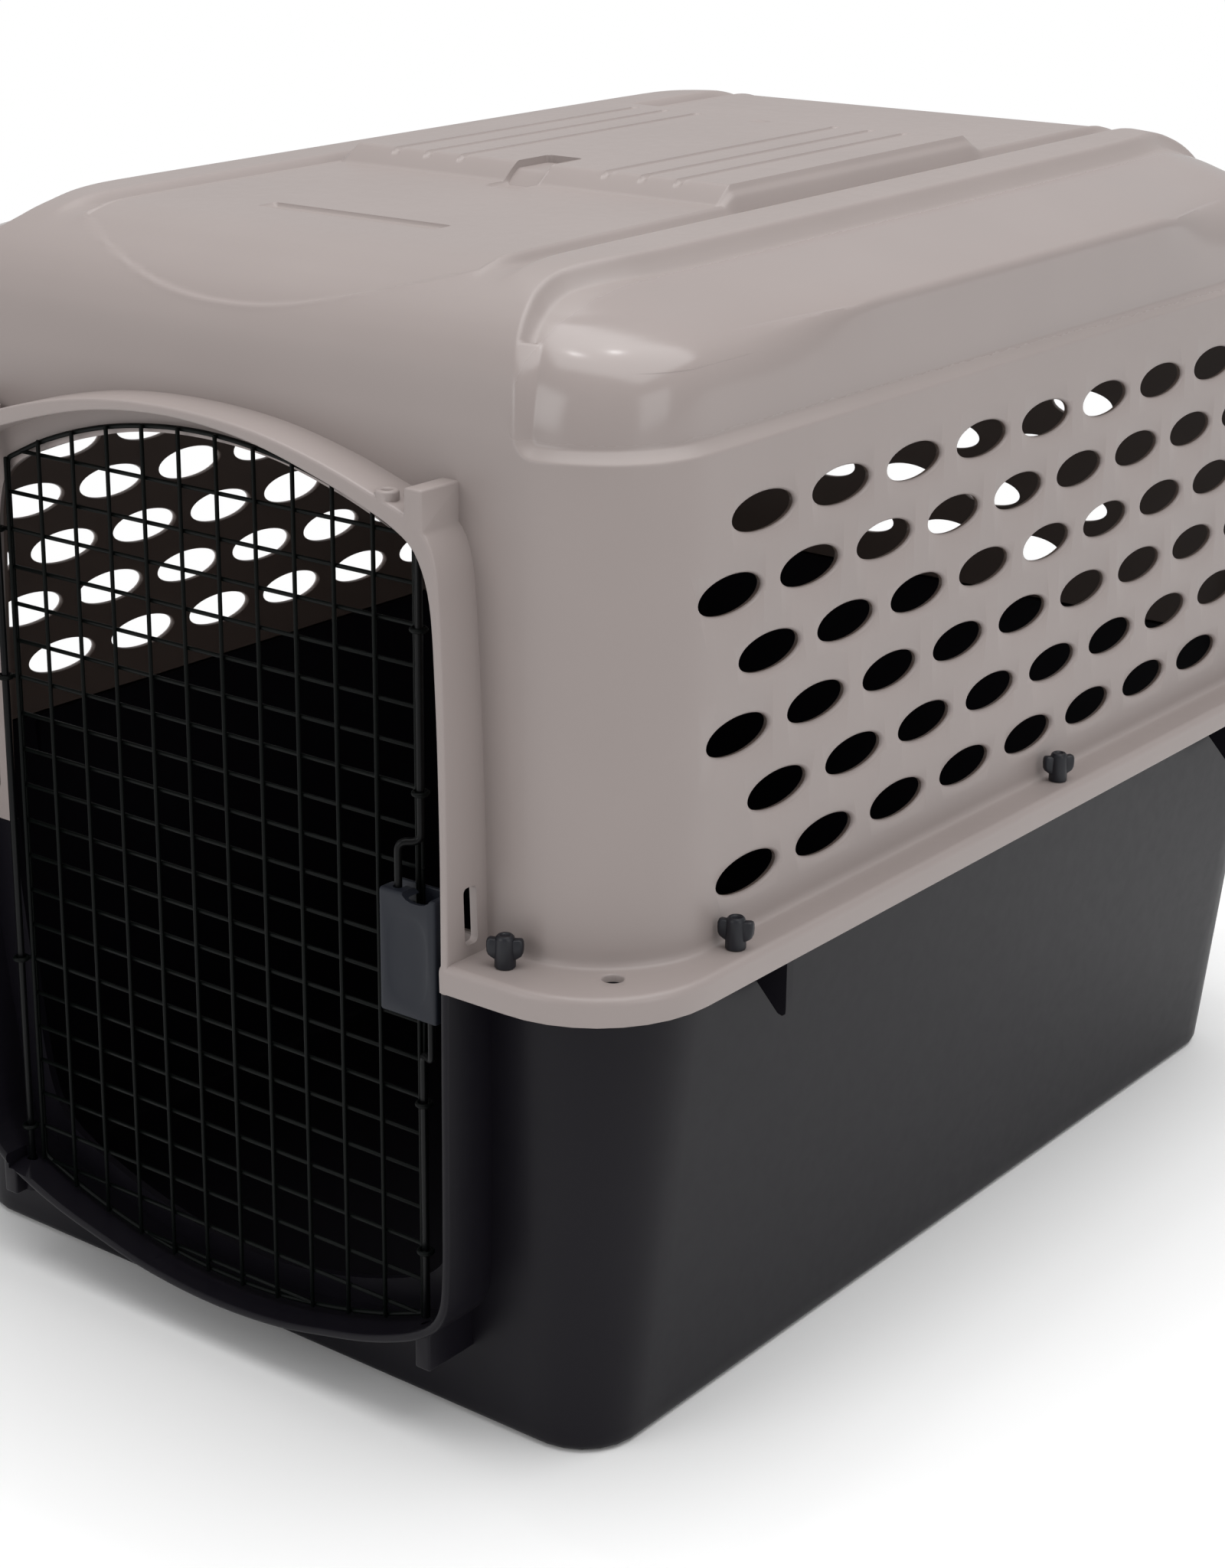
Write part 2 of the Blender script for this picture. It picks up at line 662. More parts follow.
def collar_band(out_half, in_half, lip, back):
    """Wall round the doorway with an eased front edge, ending at the parting line."""
    ease = [(0, 1.6), (0.22, 0.75), (0.75, 0.22), (1.6, 0)]   # inset, distance behind the lip
    outside = halves_resampled(closed_outline(out_half))
    inside = halves_resampled(closed_outline(in_half))
    verts = []
    for outer, inner in zip(outside, inside):
        across = inner - outer
        width = np.linalg.norm(across)
        across = across / width
        z_mid = (outer[1] + inner[1]) / 2
        y_front, y_back = lip(z_mid), back(z_mid)
        section = [(0, y_back)] + [(inset, y_front + rise) for inset, rise in ease]
        section += [(width - inset, y_front + rise) for inset, rise in ease[::-1]]
        section += [(width, y_back)]
        for distance, y in section:
            x, z = outer + across * distance
            verts.append((x, y, z))
    return fix_normals(new_object("piece", verts, capped_rings(len(outside), 10)))


def cut_doorway(shell, bore_half, bore_back, hole_half, hole_back):
    """Clear the collar in front of the wall, then open the wall."""
    cut(shell, prism_y(closed_outline(bore_half), -380, bore_back))
    cut(shell, prism_y(closed_outline(hole_half), -380, hole_back))


def cut_hinge_corner(shell, profile, z):
    """Conical clearance round the hinge axis, kept to a box on its inner side."""
    cone = lathe(profile, HINGE, 48)
    boolean(cone, box((-139.5, -100), (-352, -328), z), "INTERSECT")
    cut(shell, cone)


def upright_holes(radius, z, places, sides):
    return [cylinder(radius, *z, at, sides) for at in places]


NUT_PLACES = [(x, y) for x, y, turn in NUTS.values()]

# ------------------------------------------------------------------ top shell
# loops of the rim and lower wall: half width, half length, corner radius, height
TOP_RIM_OUTER = [
    (257.0, 350.5, 56.5, 236.0), (260.0, 353.5, 59.5, 236.0), (260.4, 353.9, 59.9, 236.25),
    (260.5, 354, 60, 236.7), (260.5, 354, 60, 241), (260.5, 354, 60, 245.2),
    (260.35, 353.85, 59.85, 246.3), (259.9, 353.4, 59.4, 247.4), (259.1, 352.6, 58.6, 248.3),
    (258.0, 351.5, 57.5, 248.85), (256.8, 350.3, 56.6, 249.0), (252, 342.5, 56.2, 249.0),
    (247.5, 335, 55.8, 249.0), (243.6, 328.7, 55.6, 249.0), (242.4, 327.5, 55.4, 249.35),
    (241.6, 326.7, 55.2, 250.2), (241.15, 326.2, 55, 251.6)]
TOP_RIM_INNER = [
    (256.6, 350.1, 56.1, 236.0), (256.5, 350, 56, 236.5), (256.5, 350, 56, 245.3),
    (256.3, 349.8, 55.8, 245.5), (250, 339, 54, 245.5), (238.2, 323.2, 52, 245.5),
    (237.2, 322.2, 51, 246.2)]
TOP_WALL_Z = [253, 256, 262, 272, 286, 302, 320, 340, 360, 380, 400, 420, 440, 452, 460, 465]
TOP_SHOULDER_Z = [
    467.2, 468.2, 468.8, 469.3, 469.8, 470.4, 471.0, 471.6, 472.2, 472.8, 473.3, 473.8,
    474.4, 475.2, 476.2, 477.3, 478.6, 480.2, 482, 485, 488, 491, 493.5, 496, 498.5, 500.5,
    502.5, 504, 505.3, 506.6, 507.8, 509, 510.1, 511.1, 512.1, 513.2]
TOP_WALL_INNER_Z = [250, 270, 300, 340, 380, 420, 450, 462]
# height, share of the set-back taken
TOP_SHOULDER_INNER = [
    (466.5, 0.0), (468, 0.25), (470, 0.75), (471.5, 1.0), (480, 1.0), (490, 1.0),
    (498, 1.0), (503, 1.0)]
SHOULDER_TILT = 0.0095
ROOF_THICKNESS = 4.6

# side vents: height, y of the first, pitch, count
VENTS_RIGHT = [
    (435, -227.4, 60, 8), (403.2, -251.2, 60, 9), (371.8, -221.7, 60, 8),
    (339.6, -245, 60.5, 9), (307.3, -214.3, 60.8, 8), (274.9, -237.6, 61.1, 9)]
VENTS_LEFT = [
    (417, -218, 58.5, 8), (390, -251.2, 58.3, 9), (362.7, -220.1, 58, 8),
    (333.5, -256.2, 58.5, 9), (304, -224, 58.5, 8), (273.5, -202.1, 59.3, 8)]
VENT_HALF_HEIGHT, SIDE_VENT_HALF_LENGTH, REAR_VENT_HALF_LENGTH = 8.4, 23.4, 20.5
REAR_VENT_PITCH, REAR_VENT_TOP_Z, REAR_VENT_DROP = 30.3, 436, 32
# vent cutter: distance out from the wall face, growth of the oval
VENT_STEPS = [
    (6.0, 1.5), (0.15, 1.5), (-0.15, 0.95), (-0.55, 0.45), (-1.1, 0.12), (-1.8, 0.0),
    (-3.0, 0.0), (-3.6, 0.2), (-4.0, 0.5), (-4.3, 0.8), (-9.0, 0.8)]


def shrunk(size):
    return [v - WALL for v in size]


def shoulder_loop(rings, z):
    """Outer loop at z, part hull and part set-back face."""
    *hull_size, hull_tilt = at_level(HULL_LEVELS, z)
    *recess_size, recess_tilt = at_level(RECESS_LEVELS, z)
    hull, recess = rings.loop(*hull_size), rings.loop(*recess_size)
    ends = end_share(hull[:, 1])[:, None]
    end_loop = rings.loop(*at_level(RECESS_END_LEVELS, z)[:3])
    recess = recess * (1 - ends) + end_loop * ends
    mask = recess_mask(hull[:, 0], hull[:, 1], z - RECESS_FLOOR_Z)
    roof_share = sstep(z, 476, 500)
    tilt = SHOULDER_TILT * (1 - roof_share)
    tilt = tilt + (hull_tilt * (1 - mask) + recess_tilt * mask) * roof_share
    mask = mask[:, None]
    xy = hull * (1 - mask) + recess * mask
    return np.c_[xy, z + tilt * xy[:, 1]]


def inner_shoulder_loop(rings, z, share):
    *hull_size, _ = at_level(HULL_LEVELS, z)
    *recess_size, _ = at_level(RECESS_LEVELS, z)
    hull = rings.loop(*hull_size)
    mask = (recess_mask(hull[:, 0] * 1.02, hull[:, 1]) * share)[:, None]
    xy = rings.loop(*shrunk(hull_size)) * (1 - mask) + rings.loop(*shrunk(recess_size)) * mask
    return np.c_[xy, z + SHOULDER_TILT * xy[:, 1]]


def inner_roof_height(x, y):
    return roof_height(x, y, fine=False) - ROOF_THICKNESS


def top_outer_loops(rings):
    loops = [rings.level(*row) for row in TOP_RIM_OUTER]
    for z in TOP_WALL_Z:
        *size, _ = at_level(HULL_LEVELS, z)
        loops.append(rings.level(*size, z, SHOULDER_TILT * max(0, (z - 420) / 45)))
    loops += [shoulder_loop(rings, z) for z in TOP_SHOULDER_Z]
    # slide from the last loop to the edge of the grid, over the roof
    last, steps = loops[-1], 40
    seam_xy = rings.grid_xy[rings.seam]
    for s in range(1, steps):
        t = (s / steps) ** 1.1
        xy = last[:, :2] * (1 - t) + seam_xy * t
        z = roof_height(xy[:, 0], xy[:, 1])
        if s < 3:
            z = np.maximum(z, last[:, 2] + 0.02 * s)
        loops.append(np.c_[xy, z])
    return loops


def top_inner_loops(rings):
    loops = [rings.level(*row) for row in TOP_RIM_INNER]
    for z in TOP_WALL_INNER_Z:
        *size, _ = at_level(HULL_LEVELS, z)
        loops.append(rings.level(*shrunk(size), z))
    loops += [inner_shoulder_loop(rings, z, share) for z, share in TOP_SHOULDER_INNER]
    last, steps = loops[-1], 14
    seam_xy = rings.grid_xy[rings.seam]
    for s in range(1, steps):
        t = s / steps
        xy = last[:, :2] * (1 - t) + seam_xy * t
        blend = min(1.0, s / 3)
        z = last[:, 2] * (1 - blend) + inner_roof_height(xy[:, 0], xy[:, 1]) * blend
        loops.append(np.c_[xy, np.maximum(z, last[:, 2] + 0.05 * s)])
    return loops


def set_in_panel(obj, outer_count):
    """Sink the roof panel a little, behind an arched edge at the front and at the rear."""
    mesh = obj.data
    coords, normals = np.zeros(len(mesh.vertices) * 3), np.zeros(len(mesh.vertices) * 3)
    mesh.vertices.foreach_get("co", coords)
    mesh.vertex_normals.foreach_get("vector", normals)
    coords, normals = coords.reshape(-1, 3) / MM, normals.reshape(-1, 3)
    ax, ay = np.abs(coords[:, 0]), np.abs(coords[:, 1])
    past_arch = ay - (309.5 - 33.5 * (ax / 121) ** 2.3)
    limits = (1 - sstep(ax, 119.8, 121.6)) * sstep(coords[:, 2], 488, 492)
    limits[outer_count:] = 0
    inside = (1 - sstep(past_arch, -0.7, 0.9)) * limits
    coords -= normals * (1.15 * inside)[:, None]
    # faint raised line along the arch
    line = np.exp(-((past_arch - 0.9) / 1.0) ** 2) * limits
    coords += normals * (0.3 * line)[:, None]
    mesh.vertices.foreach_set("co", (coords * MM).ravel())
    mesh.update()


def top_skin():
    xs_half = grid_lines(0, 198, 4.0, [
        (7.6, 11.4, 0.9), (43.4, 48.6, 0.65), (65.7, 70.9, 0.65), (87.0, 92.2, 0.65),
        (52.0, 55.6, 0.9), (115.5, 143.5, 0.8), (152, 186, 0.8)])
    ys = grid_lines(-262, 262, 4.0, [
        (-230, -215.4, 0.8), (-119, -83, 1.0), (-69, -65, 0.7), (-96, -90, 0.8),
        (98, 131, 1.0)])
    rings = RingMesh(np.unique(np.r_[-xs_half, xs_half]), ys, corner_steps=12)
    outer_first = rings.skin(top_outer_loops(rings), roof_height, False)
    outer_count = rings.count
    inner_first = rings.skin(top_inner_loops(rings), inner_roof_height, True)
    rings.join(inner_first, outer_first, False)
    shell = rings.build("carrier_top_shell")
    set_in_panel(shell, outer_count)
    return shell


def oval_vent(along, z, axis, side, surface, half_length):
    """Cutter for one oval vent with an eased mouth, through a wall square to the axis."""
    sides = 40
    verts = []
    for out, grow in VENT_STEPS:
        for c, s in circle(sides):
            u, v = (half_length + grow) * c, (VENT_HALF_HEIGHT + grow) * s
            p = (surface - WALL_LEAN * v + out) * side
            verts.append((p, along + u, z + v) if axis == "x" else (along + u, p, z + v))
    return np.array(verts), capped_rings(len(VENT_STEPS), sides)


def cut_vents(shell):
    vents = []
    for side, rows in ((1, VENTS_RIGHT), (-1, VENTS_LEFT)):
        for z, y0, pitch, count in rows:
            vents += [oval_vent(y0 + i * pitch, z, "x", side, WALL_X - wall_shift(z),
                                SIDE_VENT_HALF_LENGTH) for i in range(count)]
    # staggered rows in the rear wall
    for column in range(-3, 4):
        for row in range(6):
            if (column + row) % 2:
                z = REAR_VENT_TOP_Z - row * REAR_VENT_DROP
                vents.append(oval_vent(column * REAR_VENT_PITCH, z, "y", 1,
                                       WALL_Y - wall_shift(z), REAR_VENT_HALF_LENGTH))
    cut(shell, fix_normals(combine("piece", vents)))


def cut_top_holes(shell):
    eased = [(0, 240), (4.6, 240), (4.6, 248.2), (4.85, 248.7), (5.5, 249.1), (5.5, 256),
             (0, 256)]
    holes = [lathe(eased, at) for at in RIM_CORNERS]
    holes += upright_holes(2.5, (240, 256), NUT_PLACES, 16)
    holes += upright_holes(2.6, (425, 443.2), (LATCH, HINGE), 20)
    # slot in each side of the collar and a pocket in the wall behind it
    for side in (-1, 1):
        holes.append(box(span(side, 157.0, 173.0), (-341, -332.5), (254, 280), 2.4, 4))
        holes.append(box(span(side, 146.0, 161.0), (-328, -315), (252.5, 283), 1.0, 2))
    cut(shell, merge(holes))


def build_top():
    shell = top_skin()
    join(shell, collar_band(UP_OUT, UP_IN, up_lip, lambda z: up_wall(z) + 2.5))
    # sill, tab and rod boss on each side of the doorway
    for side, rod in ((-1, HINGE), (1, LATCH)):
        join(shell, box(span(side, 138.0, 167.0), (-326.1, -322.1), (236.0, 250)))
        join(shell, box(span(side, 139.0, 148.6), (-346.2, -317), (433, 451.8), bevel=1.1))
        join(shell, lathe([(0, 432), (4.6, 432), (5, 432.5), (5, 446), (0, 446)], rod))
    # small upright peg beside each tab, with a dimple in its top
    peg = [(0, 438.3), (5.2, 438.3), (5.2, 446.9), (4.9, 447.6), (4.2, 448), (2.9, 448),
           (2.5, 447.7), (2.2, 446.8), (0, 446.6)]
    for side in (-1, 1):
        join(shell, lathe(peg, (side * 125.3, -340.7)))
    cut_doorway(shell, [(163, 230), (163, 236.2)] + UP_IN[1:],
                lambda z: up_wall(max(z, SEAM_Z)) - 0.05, [(140, 228)] + UP_HOLE, -300)
    cut_vents(shell)
    cut_top_holes(shell)
    cut_hinge_corner(shell, [(0, 405), (24, 405), (24, 432.0), (3.4, 422.4), (0, 422.4)],
                     (396, 440))
    return shell


# ------------------------------------------------------------------ base shell
# loops: half width, half length, corner radius, height
BASE_FOOT = [
    (200, 296, 22, 0.0), (207.5, 302.5, 26, 0.0), (209.2, 304.2, 28, 0.25),
    (210.8, 305.8, 29.4, 1.1), (211.9, 306.9, 30.4, 2.4), (212.5, 307.5, 31, 4.2),
    (213.0, 307.9, 31.4, 9)]
BASE_WALL_Z = [20, 40, 60, 80, 100, 120, 140, 160, 180, 200, 215, 226, 233, 237.5]
BASE_RIM = [
    (239.6, 324.6, 54, 239.6), (241, 326, 54.1, 240.3), (255.2, 348.7, 55, 240.3),
    (255.7, 349.2, 55.2, 240.8), (255.7, 349.2, 55.2, 244.9), (255.4, 348.9, 55.1, 245.2),
    (240, 328, 54, 245.2), (236.0, 321, 50, 245.2), (235.5, 320.5, 50, 244.8)]
BASE_WALL_INNER_Z = [236, 200, 150, 100, 50, 14]
BASE_INNER_FOOT = [
    (208, 303, 26.5, 9.5), (206.6, 301.6, 25.4, 6.4), (204, 299, 23, 4.9), (200, 295, 20, 4.5)]
BASE_FLOOR_Z = 4.5


def base_wall(z):
    """Size of the outer wall at height z."""
    t = (z - 4) / 232
    return [212.5 + 27 * t, 307.5 + 17 * t, 31 + 23 * t]


def base_skin():
    rings = RingMesh(np.linspace(-150, 150, 41), np.linspace(-236, 236, 61), corner_steps=14)
    rows = BASE_FOOT + [(*base_wall(z), z) for z in BASE_WALL_Z] + BASE_RIM
    rows += [(*shrunk(base_wall(z)), z) for z in BASE_WALL_INNER_Z] + BASE_INNER_FOOT
    loops = [rings.level(*row) for row in rows]
    underside = rings.skin(loops[:1], lambda x, y: np.zeros(len(x)), True)
    rings.skin(loops[1:], lambda x, y: np.full(len(x), BASE_FLOOR_Z), False, underside)
    return rings.build("carrier_base_shell")


def build_base():
    shell = base_skin()
    join(shell, collar_band([(167, 235.7)] + LOW_OUT[1:], [(163, 235.7)] + LOW_IN[1:],
                            low_lip, lambda z: low_wall(z) + 2))
    gusset = [(232, 242), (232, 224), (249.2, 205.9), (251.6, 205.3), (253.4, 206.6),
              (253.6, 209), (253.6, 242)]
    # tab and rod boss beside the doorway, two gussets under the rim
    for side, rod, boss_top in ((-1, HINGE, 55.8), (1, LATCH, 57)):
        join(shell, box(span(side, 134.2, 143.0), (-340.5, -309.5), (39.2, 62), bevel=1.1))
        join(shell, lathe([(0, 40), (5, 40), (5, boss_top - .5), (4.6, boss_top),
                           (0, boss_top)], rod))
        for y in (-222, 222):
            join(shell, prism_y([(side * x, z) for x, z in gusset], y - 2.5, y + 2.5))
    cut_doorway(shell, [(163, 245), (163, 237)] + LOW_IN[1:],
                lambda z: low_wall(min(z, SEAM_Z)) - 0.05, [(140, 252)] + LOW_HOLE, -280)
    # gap in the rim above the doorway
    cut(shell, box((-168.5, 168.5), (-400, -310), (235.7, 260)))
    cut_hinge_corner(shell, [(0, 56.2), (3.4, 56.2), (24, 48.4), (24, 75), (0, 75)], (45, 80))
    holes = upright_holes(4.6, (236, 250), RIM_CORNERS, 24)
    holes += upright_holes(2.5, (236, 250), NUT_PLACES, 16)
    holes += upright_holes(2.6, (42.5, 70), (LATCH, HINGE), 20)
    cut(shell, merge(holes))
    return shell


# ------------------------------------------------------------------ door
# right halves of the outline wire (x, z), from the parting height to the middle
DOOR_HALF_WIDTH = 128.6
FRAME_UP = [
    (128.6, 236), (128.6, 400), (128.6, 420.5), (100, 433.4), (64, 444.2), (30, 449.8),
    (0, 451.5)]
FRAME_LOW = [(128.6, 236), (128.6, 58), (100, 47.6), (66, 39.4), (30, 34.2), (0, 33)]
WIRE_RADIUS, OUTLINE_RADIUS, WIRE_SIDES = 1.02, 1.2, 12
UPRIGHT_Y, CROSS_Y, OUTLINE_Y = -327.05, -325.2, -325.05
UPRIGHT_PITCH, CROSS_PITCH, CROSS_MIDDLE_Z = 23.2, 18.34, 239.4
TOP_CROSS_Z = 425.2
HINGE_ROWS, LATCH_ROWS = (3, 7, 15, 20), (3, 7, 15, 19)


def outline_wire():
    upper = [tuple(p) for p in closed_outline(FRAME_UP[2:], 5)]
    lower = [tuple(p) for p in closed_outline(FRAME_LOW[1:], 5)]
    w = DOOR_HALF_WIDTH
    loop = [(w, 236)] + upper + [(-w, 300), (-w, 170)] + lower[::-1] + [(w, 150), (w, 236)]
    path = fillet_path([(x, OUTLINE_Y, z) for x, z in loop], 5, 4)[:-1]
    tangents = np.roll(path, -1, 0) - np.roll(path, 1, 0)
    tangents /= np.linalg.norm(tangents, axis=1)[:, None]
    v = np.array([0, 1.0, 0])
    verts = []
    for point, tangent in zip(path, tangents):
        u = np.cross(v, tangent)
        u /= np.linalg.norm(u)
        verts += [point + OUTLINE_RADIUS * (c * u + s * v) for c, s in circle(WIRE_SIDES)]
    return np.array(verts), closed_rings(len(path), WIRE_SIDES)


def wire_eye(x, y, z):
    """Small wire ring round a rod."""
    ring_radius, wire_radius, around, sides = 3.2, 1.02, 24, 10
    section = [(ring_radius + wire_radius * c, wire_radius * 1.15 * s)
               for c, s in circle(sides)]
    verts = [(r * c, r * s, h) for c, s in circle(around) for r, h in section]
    return np.array(verts) + np.array([x, y, z]), closed_rings(around, sides)


def rod_hook(x, side, z):
    """End of a cross wire bent forward to a rod; side is the way back to the door's middle."""
    return [(x, ROD_Y + 3.2, z), (x + side * 2.2, ROD_Y + 3.25, z),
            (x + side * 5.0, CROSS_Y - 0.4, z), (x + side * 8, CROSS_Y, z)]


def build_door():
    upper, lower = np.array(FRAME_UP), np.array(FRAME_LOW)[::-1]
    bars = [outline_wire()]
    for i in range(12):
        x = (i - 5.5) * UPRIGHT_PITCH
        z_top = np.interp(abs(x), upper[::-1, 0], upper[::-1, 1])
        z_bottom = np.interp(abs(x), lower[:, 0], lower[:, 1])
        if i in (0, 11):
            z_top, z_bottom = min(z_top, 420.0), max(z_bottom, 56)
        heights = (z_bottom - 1.0, (z_bottom + z_top) / 2, z_top + 1.0)
        bars.append(tube([(x, UPRIGHT_Y, z) for z in heights], WIRE_RADIUS, WIRE_SIDES))
    rows = [(row, CROSS_MIDDLE_Z + (11 - row) * CROSS_PITCH) for row in range(2, 23)]
    for row, z in rows + [(1, TOP_CROSS_Z)]:
        half_width = DOOR_HALF_WIDTH
        if not 58 < z < 420:
            outline = upper if z > SEAM_Z else lower
            half_width = np.interp(z, outline[:, 1], outline[:, 0])
        path = [(x, CROSS_Y, z) for x in (-half_width - 0.9, 0, half_width + 0.9)]
        if row in HINGE_ROWS:
            path = rod_hook(HINGE_X, 1, z) + path[1:]
        if row in LATCH_ROWS:
            path = path[:-1] + rod_hook(LATCH_X, -1, z)[::-1]
        bars.append(tube(path, WIRE_RADIUS, WIRE_SIDES))
        if row in HINGE_ROWS:
            bars.append(wire_eye(*HINGE, z))
        if row in LATCH_ROWS:
            bars.append(wire_eye(*LATCH, z))
    return wire_object("carrier_door_grille", bars)


def rod(name, path):
    return wire_object(name, [tube(path, radius=1.75, sides=20)])


# ------------------------------------------------------------------ latch
UPPER_ROD_X, LOWER_ROD_X, COVER_ROD_Y = 124.2, 142.5, -336
UPPER_ROD = [
    (*LATCH, 429.5), (*LATCH, 290.5), (UPPER_ROD_X, COVER_ROD_Y, 290.5),
    (UPPER_ROD_X, COVER_ROD_Y, 257), (137, COVER_ROD_Y, 257)]
LOWER_ROD = [
    (*LATCH, 59.3), (*LATCH, 190.0), (LOWER_ROD_X, COVER_ROD_Y, 192.0),
    (LOWER_ROD_X, COVER_ROD_Y, 225), (130, COVER_ROD_Y, 225)]
ROD_BEND, ROD_BEND_STEPS = 4.2, 8
COVER_FACE_Y = -341.5


def finger_dish():
    """Cutter for a shallow dish with squarish corners in the face of the cover."""
    sides, power = 36, 0.62
    # depth behind the face, share of the full size
    steps = [(-3, 1.0), (0, 1.0), (0.25, 0.93), (0.5, 0.82), (0.7, 0.62), (0.8, 0.3)]
    verts = []
    for depth, share in steps:
        for c, s in circle(sides):
            verts.append((133.5 + 12.2 * share * math.copysign(abs(c) ** power, c),
                          COVER_FACE_Y + depth,
                          239.5 + 22 * share * math.copysign(abs(s) ** power, s)))
    return fix_normals(new_object("piece", verts, capped_rings(len(steps), sides)))


def build_latch_cover():
    cover = box((117.1, 149.9), (COVER_FACE_Y, -331.9), (212, 270), 1.7, 5,
                "carrier_latch_cover")
    cut(cover, box((119.1, 147.9), (-339.6, -325), (214.2, 267.8), 0.9, 2))
    # passages for the rods through the top and bottom edges, open to the rear
    radius = 2.4
    for x, round_z, open_z in ((UPPER_ROD_X, (262, 276), (263, 276)),
                               (LOWER_ROD_X, (204, 218), (204, 217))):
        cut(cover, cylinder(radius, *round_z, (x, COVER_ROD_Y), 28))
        cut(cover, box((x - radius, x + radius), (COVER_ROD_Y, -328), open_z))
    # scoop in the top edge
    scoop = [(128.8, 276), (129.6, 271.4), (131.0, 269.0), (133.2, 267.4), (136.2, 266.6),
             (140.8, 266.6), (143.8, 267.3), (146.0, 268.8), (147.3, 271.2), (148.2, 276)]
    cut(cover, prism_y(scoop, -345, -330.5))
    cut(cover, finger_dish())
    return shade(cover, 38)


def build_back_plate():
    plate = box((111.8, 138.6), (-324.6, -322.6), (214, 268), 0.7, 3,
                "carrier_latch_back_plate")
    for z in (248.6, 230.2):
        pin = lathe([(0, 0), (2.1, 0), (2.1, 7.9), (1.6, 8.4), (0, 8.4)], sides=24)
        pin.data.transform(Matrix.Translation(Vector((121.8, -322.9, z)) * MM)
                           @ Matrix.Rotation(math.radians(90), 4, "X"))
        pin.data.update()
        join(plate, pin)
    return shade(plate, 38)


def build_spring():
    turns, per_turn = 5, 26
    path = []
    for i in range(turns * per_turn + 1):
        a = 2 * math.pi * i / per_turn
        path.append((133.5 + 3.6 * math.cos(a), ROD_Y - 6.1 + 3.6 * 0.69 * math.sin(a),
                     228.1 + 25.2 * i / (turns * per_turn)))
    return shade(wire_object("carrier_latch_spring", [tube(path, radius=0.62, sides=10)]), 60)


# ------------------------------------------------------------------ wing nuts and bolts
NUT_Z, BOLT_Z = 249.3, 239.0


def nut_wings():
    """Both wings as one rounded blade across the hub."""
    half = [(0, 2.2), (3.5, 3.0), (5.6, 4.2), (7.2, 5.4), (7.9, 6.9), (8.1, 9.6), (8.0, 11.6),
            (7.55, 12.7), (6.7, 13.1), (5.0, 13.0), (0, 12.6)]
    outline = half + [(-x, z) for x, z in half[::-1][1:-1]]
    centre = np.array([0, 8.0])
    ease = 1.05
    # y, how much of the ease the outline has won back
    steps = [(-2.2, 0.0), (-1.95, 0.55), (-1.3, 0.95), (0, 1.05), (1.3, 0.95), (1.95, 0.55),
             (2.2, 0.0)]
    verts = []
    for y, grow in steps:
        for point in outline:
            arm = np.array(point) - centre
            length = np.linalg.norm(arm)
            x, z = centre + arm * (length - ease + grow) / length
            verts.append((x, y, z))
    return fix_normals(new_object("piece", verts, capped_rings(len(steps), len(outline))))


def nut_master():
    """Wing nut standing at the origin, bored from below, with a dimple in its crown."""
    nut = lathe([(0, 0), (4.3, 0), (4.6, 0.3), (4.6, 2.4), (4.5, 7.5), (4.25, 12.6),
                 (3.9, 13.8), (3.2, 14.5), (0, 14.5)], sides=40, name="nut")
    join(nut, nut_wings())
    cut(nut, lathe([(0, -1), (2.9, -1), (2.35, 0.5), (2.35, 12.0), (0, 12.0)], sides=28))
    cut(nut, lathe([(0, 13.9), (1.9, 13.9), (2.5, 14.6), (2.5, 16), (0, 16)], sides=28))
    return nut


def bolt_master():
    shank, root, pitch = 2.0, 1.72, 0.7
    profile = [(0, -2.8), (3.3, -2.8), (4.0, -2.5), (4.2, -2.0), (4.2, 0.9), (shank, 0.9),
               (shank, 9.0)]
    z = 9.0
    while z < 19.6:
        profile += [(shank, z + 0.18), (root, z + 0.4), (shank, z + 0.62)]
        z += pitch
    profile += [(shank, 20.2), (1.6, 20.8), (0, 20.8)]
    return lathe(profile, sides=28, name="bolt")


# ------------------------------------------------------------------ materials
def srgb(color):
    """Linear RGBA from 0-255 sRGB."""
    shares = [v / 255 for v in color]
    return tuple(v / 12.92 if v <= 0.04045 else ((v + 0.055) / 1.055) ** 2.4
                 for v in shares) + (1.0,)


def add_node(tree, kind, inputs, **settings):
    """New shader node; each input gets a value or the socket that feeds it."""
    node = tree.nodes.new("ShaderNode" + kind)
    for key, value in settings.items():
        setattr(node, key, value)
    for key, value in inputs.items():
        if isinstance(value, bpy.types.NodeSocket):
            tree.links.new(value, node.inputs[key])
        else:
            node.inputs[key].default_value = value
    return node


def math_node(tree, operation, *values):
    return add_node(tree, "Math", dict(enumerate(values)), operation=operation).outputs[0]


def map_range(tree, value, source, target=(0.0, 1.0), **settings):
    return add_node(tree, "MapRange", {
        "Value": value, "From Min": source[0], "From Max": source[1],
        "To Min": target[0], "To Max": target[1]}, **settings).outputs[0]


